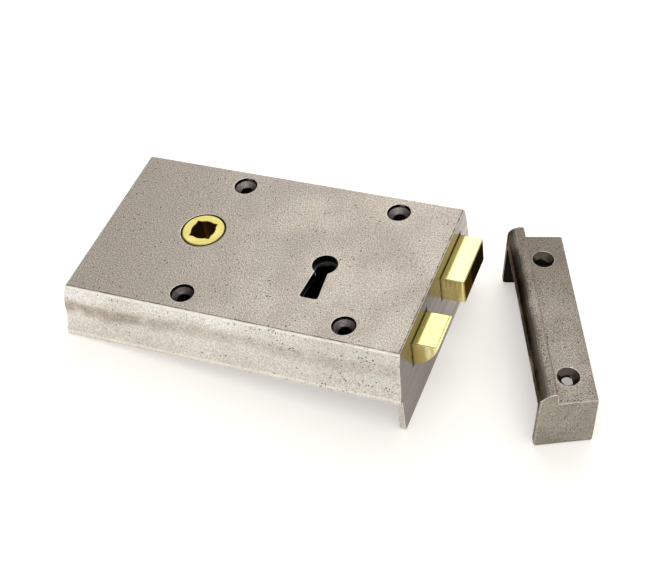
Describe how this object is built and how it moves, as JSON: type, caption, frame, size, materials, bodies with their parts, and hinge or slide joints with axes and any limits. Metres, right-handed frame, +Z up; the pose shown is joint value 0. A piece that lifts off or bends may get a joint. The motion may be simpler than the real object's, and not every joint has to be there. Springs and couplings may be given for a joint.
{
  "type": "rim box lock",
  "caption": "Rim lock for the face of a door: moulded cast case with a forend lip, brass latch and dead bolts, spindle follower and keyhole, with a loose box keep.",
  "frame": {"origin": "under the middle of the set's box, on the surface that the lock and its keep lie on", "axes": "+X along the lock from its plain end towards the forend and keep, +Y towards the dead bolt's side (up on the door), +Z up; the lock leans by 6.8 degrees on its lip"},
  "size_m": [0.23, 0.1076, 0.0448],
  "materials": {
    "cast_case": "bare casting, lacquered",
    "cast_keep": "darker polished casting",
    "plate_steel": "mill finish",
    "screw_steel": "bright turned",
    "spring_steel": "oiled",
    "follower_brass": "turned",
    "bolt_brass": "polished"
  },
  "bodies": {
    "case": {"case": "cast_case", "back_plate": "plate_steel", "back_plate_screws": "screw_steel", "keyhole_ward_front": "plate_steel", "keyhole_ward_rear": "plate_steel", "follower_washer": "plate_steel", "latch_guide": "plate_steel", "latch_guide_screws": "screw_steel", "latch_spring": "spring_steel", "latch_spring_post": "screw_steel", "dead_bolt_stump": "screw_steel", "detent_spring": "spring_steel", "detent_spring_peg": "screw_steel", "keep": "cast_keep"},
    "follower": {"follower": "follower_brass"},
    "latch": {"latch_head": "bolt_brass", "latch_tail": "plate_steel", "latch_rivets": "bolt_brass"},
    "dead_bolt": {"dead_bolt_head": "bolt_brass", "dead_bolt_tail": "plate_steel", "dead_bolt_rivets": "bolt_brass"}
  },
  "joints": [
    {"name": "follower_turn", "type": "hinge", "parent": "case", "child": "follower", "pos_m": [-0.06822, -0.00265, 0.01887], "axis": [0.1189, 0, -0.9929], "range_deg": [0, 45.1]},
    {"name": "latch_slide", "type": "slide", "parent": "case", "child": "latch", "axis": [0.9929, 0, 0.1189], "range_m": [-0.01167, 0], "stiffness_N_per_m": 500, "springref_m": 0.012, "deforming": ["latch_spring"]},
    {"name": "dead_bolt_slide", "type": "slide", "parent": "case", "child": "dead_bolt", "axis": [0.9929, 0, 0.1189], "range_m": [-0.0105, 0], "deforming": ["detent_spring"]}
  ],
  "couplings": [
    {"joint": "follower_turn", "follows": "latch_slide", "rad_per_m": -67.316}
  ]
}
